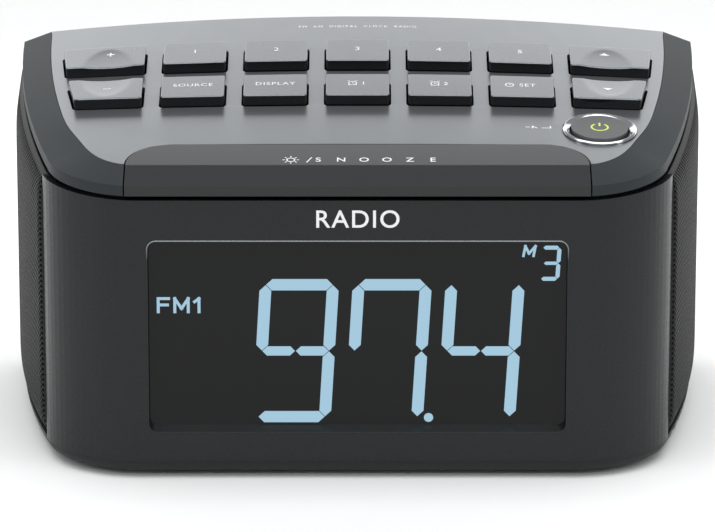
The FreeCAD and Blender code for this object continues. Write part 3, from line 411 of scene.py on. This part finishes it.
# ---- grilles ----
grille = {"cell": 1.15, "open": 0.62, "skin": 0.8, "rim": 1.5, "low": 5.9, "startLap": 1.0,
          "endGap": 2.9, "square": 16, "turnIn": 4.0, "rise": 82.0, "shorter": 22.0, "border": 1.2,
          "topLap": 0.4, "rimShare": 0.6, "clothGap": 0.3, "clothThick": 0.15}


def grillePoint(side, along, up, depth):
    # along and up run from 0 to 1; the skin turns in at its front edge, its top and its foot
    first = cornerEnd + grille["startLap"]
    last = backY - grille["endGap"]
    y = first + (last - first) * along
    frontFold = 1 - max(0.0, 1 - (y - first) / grille["turnIn"]) ** 3
    fold = (1 - abs(2 * up - 1) ** grille["square"]) * frontFold
    swell = sideSwell(y)
    inset = grille["rim"] - swell * (1 - fold) * grille["rimShare"] - (grille["rim"] + swell) * fold + depth
    edge = sidePoint(y, radio["bandWidth"] - radio["bandNarrowing"])
    top = deckZ(edge, y) - radio["cabinetDrop"] + grille["topLap"]
    return Vector((side * sidePoint(y, inset), y, grille["low"] + up * (top - grille["low"])))


def sideGrille(side, label):
    # a sheet of square openings set cornerwise, bent to the side, over black cloth
    length = backY - grille["shorter"]
    rise = grille["rise"]
    border = grille["border"]
    reach = int(math.hypot(length, rise) / grille["cell"] / 2) + 1
    bm = bmesh.new()
    size = reach * grille["cell"]
    bmesh.ops.create_grid(bm, x_segments=2 * reach, y_segments=2 * reach, size=size)
    bmesh.ops.rotate(bm, verts=bm.verts, matrix=Matrix.Rotation(math.radians(45), 3, "Z"))
    bmesh.ops.translate(bm, verts=bm.verts, vec=(length / 2, rise / 2, 0))
    for at, away in (((0, 0, 0), (-1, 0, 0)), ((length, 0, 0), (1, 0, 0)), ((0, 0, 0), (0, -1, 0)),
                     ((0, rise, 0), (0, 1, 0))):
        bmesh.ops.bisect_plane(bm, geom=bm.verts[:] + bm.edges[:] + bm.faces[:], plane_co=at, plane_no=away,
                               clear_outer=True)
    whole = [f for f in bm.faces if len(f.verts) == 4 and f.calc_area() > 0.95 * grille["cell"] ** 2
             and border < f.calc_center_median().x < length - border
             and border < f.calc_center_median().y < rise - border]
    bmesh.ops.inset_individual(bm, faces=whole, thickness=grille["cell"] * (1 - grille["open"]) / 2)
    bmesh.ops.delete(bm, geom=whole, context="FACES")
    for vert in bm.verts:
        vert.co = grillePoint(side, vert.co.x / length, vert.co.y / rise, 0.0)
    piece = addPiece("grille" + label, bm, "cabinet", [materials["grille_mesh"]],
                     ["grille_" + label.lower()], smooth=60)
    skin = piece.modifiers.new("skin", "SOLIDIFY")
    skin.thickness = grille["skin"] * mm
    # the skin always thickens inwards, whichever way its faces look
    outward = sum(face.normal.x for face in piece.data.polygons) * side
    skin.offset = -1.0 if outward > 0 else 1.0
    backing = bmesh.new()
    bmesh.ops.create_grid(backing, x_segments=24, y_segments=12, size=0.5)
    for vert in backing.verts:
        vert.co = grillePoint(side, vert.co.x + 0.5, vert.co.y + 0.5, grille["skin"] + grille["clothGap"])
    cloth = addPiece("speakerCloth" + label, backing, "cabinet", [clothBlack])
    thick = cloth.modifiers.new("skin", "SOLIDIFY")
    thick.thickness = grille["clothThick"] * mm


for side, label in ((-1, "Left"), (1, "Right")):
    sideGrille(side, label)
print("grilles ready")

# ---- keys ----
keys = {"pitch": 23.4, "width": 18.0, "depth": 14.0, "frontRow": 54.2, "rearRow": 77.2, "outerStart": 61.2,
        "outerMargin": 3.9, "proud": 3.2, "skirt": 6.6, "corner": 0.8, "outerCorner": 0.6, "rim": 0.35,
        "dishHalf": 7.6, "dishLength": 16.5, "dishDepth": 0.62, "dishX": 71.6}
rows = {"rearRow": ["plus", "1", "2", "3", "4", "5", "up"],
        "frontRow": ["minus", "source", "display", "alarm_1", "alarm_2", "set", "down"]}


def keyCorners(column, y):
    low, high = y - keys["depth"] / 2, y + keys["depth"] / 2
    if abs(column) < 3:
        x = column * keys["pitch"]
        return [(x - keys["width"] / 2, low), (x + keys["width"] / 2, low),
                (x + keys["width"] / 2, high), (x - keys["width"] / 2, high)]
    inset = radio["bandWidth"] - radio["bandNarrowing"] + keys["outerMargin"]
    points = [(keys["outerStart"], low), (sidePoint(low, inset), low), (sidePoint(high, inset), high),
              (keys["outerStart"], high)]
    return points if column > 0 else [(-x, y) for x, y in reversed(points)]


def dishDepth(x, y):
    # one oval hollow shared by each pair of outer keys
    reach = ((abs(x) - keys["dishX"]) / keys["dishHalf"]) ** 2
    reach += ((y - (keys["frontRow"] + keys["rearRow"]) / 2) / keys["dishLength"]) ** 2
    return keys["dishDepth"] * (1 - reach) ** 0.8 if reach < 1 else 0.0


def keyCap(name, corners, dished):
    bm = bmesh.new()
    if dished:
        bmesh.ops.create_grid(bm, x_segments=32, y_segments=20, size=0.5)
        (ax, ay), (bx, by), (cx, cy), (dx, dy) = corners
        for vert in bm.verts:
            s, t = vert.co.x + 0.5, vert.co.y + 0.5
            vert.co.x = (ax * (1 - s) + bx * s) * (1 - t) + (dx * (1 - s) + cx * s) * t
            vert.co.y = ay + (dy - ay) * t
    else:
        outlineFace(bm, corners, 0, keys["corner"])
    raiseFaces(bm, (0, 0, -keys["skirt"]))
    bmesh.ops.recalc_face_normals(bm, faces=bm.faces)
    if dished:
        upright = [e for e in bm.edges if abs(e.verts[0].co.z - e.verts[1].co.z) > 1
                   and e.calc_face_angle(0) > math.radians(45)]
        bmesh.ops.bevel(bm, geom=upright, offset=keys["outerCorner"], segments=4, profile=0.5,
                        affect="EDGES", material=-1)
    rim = [e for e in bm.edges if min(v.co.z for v in e.verts) > -0.01
           and e.calc_face_angle(0) > math.radians(60)]
    bmesh.ops.bevel(bm, geom=rim, offset=keys["rim"], segments=4, profile=0.5, affect="EDGES", material=-1)
    for face in bm.faces:
        face.material_index = 0 if face.normal.z > 0.2 else 1
    for vert in bm.verts:
        sunk = dishDepth(vert.co.x, vert.co.y) if dished and vert.co.z > -1 else 0.0
        vert.co = onDeck(vert.co.x, vert.co.y, keys["proud"] + vert.co.z - sunk)
    body = "key_" + name
    return addPiece("keyCap_" + name, bm, body, [materials["key_plastic"], keySide], [body],
                    smooth=50)


for row, names in rows.items():
    for column, name in zip(range(-3, 4), names):
        keyCap(name, keyCorners(column, keys[row]), abs(column) == 3)
print("keys ready")

# ---- legends on the keys ----
legend = {"up": keys["proud"] + 0.01, "height": 2.0, "numeral": 2.4, "spacing": 1.15, "line": 0.42,
          "reach": 1.1, "arrowHalf": 1.5, "arrowFoot": -0.6, "arrowTip": 0.9, "above": 0.6, "aboveUp": 1.8,
          "inwards": 0.4}
clock = {"radius": 1.15, "ring": 0.28, "hand": 0.22, "minute": 0.75, "hour": 0.55, "bell": 0.5,
         "bellRing": 0.26, "bellX": 1.05, "bellY": 1.1}


def printed(name, bm, body, x, y, up=legend["up"], ink=whiteInk):
    layOnDeck(bm, x, y, up)
    addPiece(name, bm, body, [ink], smooth=60)


def strokeRing(bm, radius, width, start=0.0, sweep=math.tau, segments=28, at=(0, 0)):
    # a flat ring or arc, drawn by turning one short line
    inner = bm.verts.new((at[0] + (radius - width / 2) * math.cos(start),
                          at[1] + (radius - width / 2) * math.sin(start), 0))
    outer = bm.verts.new((at[0] + (radius + width / 2) * math.cos(start),
                          at[1] + (radius + width / 2) * math.sin(start), 0))
    line = bm.edges.new((inner, outer))
    bmesh.ops.spin(bm, geom=[inner, outer, line], cent=(at[0], at[1], 0), axis=(0, 0, 1), angle=sweep,
                   steps=segments, use_merge=sweep >= math.tau)


def strokeLine(bm, a, b, width):
    a, b = Vector((*a, 0)), Vector((*b, 0))
    across = (b - a).normalized().cross(Vector((0, 0, 1))) * width / 2
    bm.faces.new([bm.verts.new(a + across), bm.verts.new(b + across), bm.verts.new(b - across),
                  bm.verts.new(a - across)])


def thicken(bm, amount=inkDepth):
    raiseFaces(bm, (0, 0, amount))
    return bm


def clockIcon(bm, x, alarm):
    strokeRing(bm, clock["radius"], clock["ring"], at=(x, 0))
    strokeLine(bm, (x, 0), (x, clock["minute"]), clock["hand"])
    strokeLine(bm, (x, 0), (x + clock["hour"], 0), clock["hand"])
    if alarm:
        for s in (-1, 1):
            # a bell above and a foot below, on each side
            strokeRing(bm, clock["bell"], clock["bellRing"], math.radians(45), math.radians(100), 8,
                       at=(x + s * clock["bellX"], clock["bellY"]))
            strokeLine(bm, (x + s * 0.75, -0.95), (x + s * 1.15, -1.4), clock["ring"])


def keyMark(name):
    bm = bmesh.new()
    reach = legend["reach"]
    line = legend["line"]
    if name in ("plus", "minus"):
        strokeLine(bm, (-reach, 0), (reach, 0), line)
        if name == "plus":
            strokeLine(bm, (0, line / 2), (0, reach), line)
            strokeLine(bm, (0, -reach), (0, -line / 2), line)
    elif name in ("up", "down"):
        flip = 1 if name == "up" else -1
        half, foot, tip = legend["arrowHalf"], legend["arrowFoot"], legend["arrowTip"]
        corners = [(-half, foot), (half, foot), (0, tip)]
        bm.faces.new([bm.verts.new((x, flip * y, 0)) for x, y in corners])
    elif name.startswith("alarm"):
        clockIcon(bm, -1.4, True)
        digit = lettering(name[-1], legend["height"])
        bmesh.ops.translate(digit, verts=digit.verts, vec=(1.7, 0, 0))
        return thicken(bm), digit
    elif name == "set":
        clockIcon(bm, -3.6, False)
        word = lettering("SET", legend["height"], legend["spacing"])
        bmesh.ops.translate(word, verts=word.verts, vec=(1.5, 0, 0))
        return thicken(bm), word
    else:
        bm.free()
        height = legend["height"] if len(name) > 1 else legend["numeral"]
        return (lettering(name.upper(), height, legend["spacing"]),)
    return (thicken(bm),)


for row, names in rows.items():
    for column, name in zip(range(-3, 4), names):
        outer = abs(column) == 3
        x = math.copysign(keys["dishX"] - legend["inwards"], column) if outer else column * keys["pitch"]
        y = keys[row] + legend["aboveUp" if outer and row == "rearRow" else "above"]
        for part, bm in enumerate(keyMark(name)):
            if outer:
                for vert in bm.verts:
                    vert.co.z -= dishDepth(x + vert.co.x, y + vert.co.y)
            printed("legend_%s_%d" % (name, part), bm, "key_" + name, x, y)

# ---- marks on the panel, the bar and the power button ----
panelText = {"y": 100.0, "height": 1.3, "spacing": 1.3, "up": 0.01}
bm = lettering("FM  AM  DIGITAL  CLOCK  RADIO", panelText["height"], panelText["spacing"])
printed("panelLine", bm, "cabinet", 0, panelText["y"], panelText["up"])
bar = {"textY": 12.2, "letter": 2.6, "firstX": -10.9, "lastX": 20.9, "iconX": -18.5, "slashX": -13.4,
       "up": 0.02, "lamp": 1.1, "rayStart": 1.6, "rayEnd": 2.3}
word = "SNOOZE"
for i, letter in enumerate(word):
    x = bar["firstX"] + (bar["lastX"] - bar["firstX"]) * i / (len(word) - 1)
    bm = lettering(letter, bar["letter"], weight=0.02)
    printed("barLetter_%d" % i, bm, "snooze_bar", x, bar["textY"], bar["up"])
bm = bmesh.new()
strokeLine(bm, (-0.7, -1.6), (0.7, 1.6), 0.3)
printed("barSlash", thicken(bm), "snooze_bar", bar["slashX"], bar["textY"], bar["up"])
bm = bmesh.new()
strokeRing(bm, bar["lamp"], 0.32)
for i in range(8):
    a = i * math.tau / 8
    ray = (math.cos(a), math.sin(a))
    strokeLine(bm, [bar["rayStart"] * c for c in ray], [bar["rayEnd"] * c for c in ray], 0.3)
printed("barLamp", thicken(bm), "snooze_bar", bar["iconX"], bar["textY"], bar["up"])

power = {"x": 68.0, "y": 32.2, "up": 1.02, "radius": 2.3, "line": 0.55, "sensorX": 50.8, "sensorY": 33.7}
bm = bmesh.new()
strokeRing(bm, power["radius"], power["line"], math.radians(125), math.radians(290))
strokeLine(bm, (0, 0.7), (0, 2.9), power["line"])
printed("powerMark", thicken(bm), "power_button", power["x"], power["y"], power["up"], markInk)
# a small arrow and bracket beside the power button
bm = bmesh.new()
strokeLine(bm, (-3.6, 0), (-2.4, 0), 0.35)
strokeLine(bm, (-1.6, -0.8), (-1.6, 0.8), 0.4)
strokeLine(bm, (-1.6, 0.6), (-0.4, -0.6), 0.4)
strokeLine(bm, (1.0, -0.5), (3.0, -0.5), 0.3)
strokeLine(bm, (3.4, -0.8), (3.4, 0.8), 0.4)
printed("sensorMark", thicken(bm), "cabinet", power["sensorX"], power["sensorY"], panelText["up"])

# ---- window bead, front word and display ----
window = {"half": 58.5, "low": 13.6, "high": 69.9, "radius": 2.6, "bead": 0.36, "proud": 0.14,
          "stand": 0.02, "edge": 0.07}
bm = bmesh.new()
outlineFace(bm, [(-window["half"], window["low"]), (window["half"], window["low"]),
                 (window["half"], window["high"]), (-window["half"], window["high"])], 0, window["radius"], 8)
opening = bm.faces[:]
bmesh.ops.inset_region(bm, faces=opening, thickness=window["bead"], use_even_offset=True,
                       use_boundary=True)
bmesh.ops.delete(bm, geom=opening, context="FACES")
thicken(bm, window["proud"])
standInFront(bm, 0, 0, window["stand"])
addPiece("windowBead", bm, "cabinet", [beadPaintedHighlight], bevel=window["edge"], smooth=30)

wordSize = {"height": 5.2, "spacing": 1.12, "weight": 0.06, "z": 75.8, "y": 0.01}
bm = lettering("RADIO", wordSize["height"], wordSize["spacing"], wordSize["weight"])
standInFront(bm, 0, wordSize["z"], wordSize["y"])
addPiece("frontWord", bm, "cabinet", [wordFoil], smooth=60)

display = {"lensY": 2.98, "low": 15.8, "high": 57.8, "firstX": -28.3, "pitch": 25.8, "width": 22.0,
           "stroke": 3.3, "gap": 0.12, "lean": math.tan(math.radians(3.4)), "deep": 0.05}
smallDigit = {"x": 50.6, "low": 57.3, "width": 5.7, "height": 10.2, "stroke": 1.15, "gap": 0.07}
point = {"x": 19.87, "z": 17.2, "radius": 1.3}
# which of the seven segments a digit lights: a top, b and c right, d foot, e and f left, g middle
figures = {"9": "abcdfg", "7": "abcf", "4": "bcfg", "3": "abcdg"}


def barShape(bm, a, b, stroke, gap, place):
    # a bar from a to b with both ends pointed
    a, b = Vector(a), Vector(b)
    along = (b - a).normalized()
    across = Vector((-along.y, along.x)) * stroke / 2
    a, b = a + along * gap, b - along * gap
    tip = along * stroke / 2
    points = [a, a + tip + across, b - tip + across, b, b - tip - across, a + tip - across]
    bm.faces.new([bm.verts.new(place(point)) for point in points])


def sevenSegments(bm, digit, x, low, width, height, stroke, gap, lean, split=True):
    left, right = stroke / 2, width - stroke / 2
    foot, head, mid = stroke / 2, height - stroke / 2, height / 2
    gStroke = stroke * 0.82

    def place(p):
        return (x + p.x + (p.y - mid) * lean, low + p.y, 0)

    ends = {"a": ((left, head), (right, head)), "d": ((left, foot), (right, foot)),
            "f": ((left, mid), (left, head)), "e": ((left, foot), (left, mid)),
            "b": ((right, mid), (right, head)), "c": ((right, foot), (right, mid))}
    for name in digit:
        if name != "g":
            barShape(bm, *ends[name], stroke, gap, place)
        elif split:
            barShape(bm, (left, mid), (width / 2, mid), gStroke, gap, place)
            barShape(bm, (width / 2, mid), (right, mid), gStroke, gap, place)
        else:
            barShape(bm, (left + stroke * 0.4, mid), (right, mid), gStroke, gap, place)


bm = bmesh.new()
for i, digit in enumerate("974"):
    sevenSegments(bm, figures[digit], display["firstX"] + i * display["pitch"], display["low"],
                  display["width"], display["high"] - display["low"], display["stroke"], display["gap"],
                  display["lean"])
sevenSegments(bm, figures["3"], smallDigit["x"], smallDigit["low"], smallDigit["width"],
              smallDigit["height"], smallDigit["stroke"], smallDigit["gap"], display["lean"], split=False)
thicken(bm, display["deep"])
standInFront(bm, 0, 0, display["lensY"])
addPiece("litDigits", bm, "cabinet", [litBlue], smooth=60)
bm = bmesh.new()
bmesh.ops.create_circle(bm, cap_ends=True, radius=point["radius"], segments=28)
thicken(bm, display["deep"])
standInFront(bm, point["x"], point["z"], display["lensY"])
addPiece("litPoint", bm, "cabinet", [litBlue], smooth=60)

# letters drawn as strokes on a unit square: each list is one letter's lines
letters = {"F": [((0, 0), (0, 1)), ((0, 1), (0.62, 1)), ((0, 0.52), (0.55, 0.52))],
           "M": [((0, 0), (0, 1)), ((0, 1), (0.4, 0.25)), ((0.4, 0.25), (0.8, 1)), ((0.8, 1), (0.8, 0))],
           "1": [((0.2, 0), (0.2, 1)), ((0.2, 1), (-0.06, 0.76))]}


def strokeWord(word, x, z, height, pitch, stroke, lean):
    bm = bmesh.new()
    for letter, start in zip(word, pitch):
        for line in letters[letter]:
            ends = [Vector((start + px * height + py * height * lean,
                            py * (height - stroke) + stroke / 2, 0)) for px, py in line]
            along = (ends[1] - ends[0]).normalized() * stroke / 2
            strokeLine(bm, (ends[0] - along).to_2d(), (ends[1] + along).to_2d(), stroke)
    thicken(bm, display["deep"])
    standInFront(bm, x, z, display["lensY"])
    return bm


for name, word, x, z, height, pitch, stroke, lean in (
        ("litBand", "FM1", -55.4, 47.85, 4.67, (0, 4.6, 10.4), 0.82, 0.0),
        ("litMemory", "M", 46.0, 64.2, 3.5, (0,), 0.7, 0.15)):
    bm = strokeWord(word, x, z, height, pitch, stroke, lean)
    addPiece(name, bm, "cabinet", [litBlue], smooth=60)
print("display ready")

# ---- floor and lights ----
studio = {"floorHalf": 4.0, "skyColour": "#F2F4F6", "sky": 0.38}
bm = bmesh.new()
bmesh.ops.create_grid(bm, x_segments=1, y_segments=1, size=studio["floorHalf"])
mesh = bpy.data.meshes.new("floor")
bm.to_mesh(mesh)
bm.free()
floor = bpy.data.objects.new("floor", mesh)
bpy.context.scene.collection.objects.link(floor)
# matt white paper sweep
mesh.materials.append(newMaterial("paleFloor", "#FEFEFE", 0.7, mottle=0.01, grainDepth=0.0))

world = bpy.data.worlds.new("studio")
bpy.context.scene.world = world
world.use_nodes = True
sky = world.node_tree.nodes["Background"]
sky.inputs["Color"].default_value = hexColour(studio["skyColour"])
sky.inputs["Strength"].default_value = studio["sky"]

# bright is the luminance of each panel's face; its power follows from its area
lights = {"overhead": {"at": (0, -0.25, 1.3), "size": (1.7, 1.1), "aim": (0, -0.05, 0), "bright": 2.4},
          "rearPanel": {"at": (0, 0.36, 0.215), "size": (1.4, 0.27), "aim": (0, 0, 0.1), "bright": 1.35},
          "backFloor": {"at": (0, 0.34, 0.45), "size": (2.2, 0.2), "aim": (0, 0.9, 0), "bright": 1.1},
          "frontStrip": {"at": (0, -1.4, 0.95), "size": (1.6, 0.25), "aim": (0, 0, 0.05), "bright": 3.5},
          "leftSide": {"at": (-1.1, -0.6, 0.45), "size": (0.35, 0.9), "aim": (0, 0, 0.05), "bright": 2.2},
          "rightSide": {"at": (1.1, -0.6, 0.45), "size": (0.35, 0.9), "aim": (0, 0, 0.05), "bright": 2.2}}
for name, spec in lights.items():
    lamp = bpy.data.lights.new(name, "AREA")
    lamp.shape = "RECTANGLE"
    lamp.size, lamp.size_y = spec["size"]
    lamp.energy = spec["bright"] * math.pi * lamp.size * lamp.size_y
    holder = bpy.data.objects.new(name, lamp)
    holder.location = spec["at"]
    aim = Vector(spec["aim"]) - Vector(spec["at"])
    holder.rotation_euler = aim.to_track_quat("-Z", "Y").to_euler()
    bpy.context.scene.collection.objects.link(holder)
bpy.context.scene.view_settings.view_transform = "Standard"
print("studio ready")
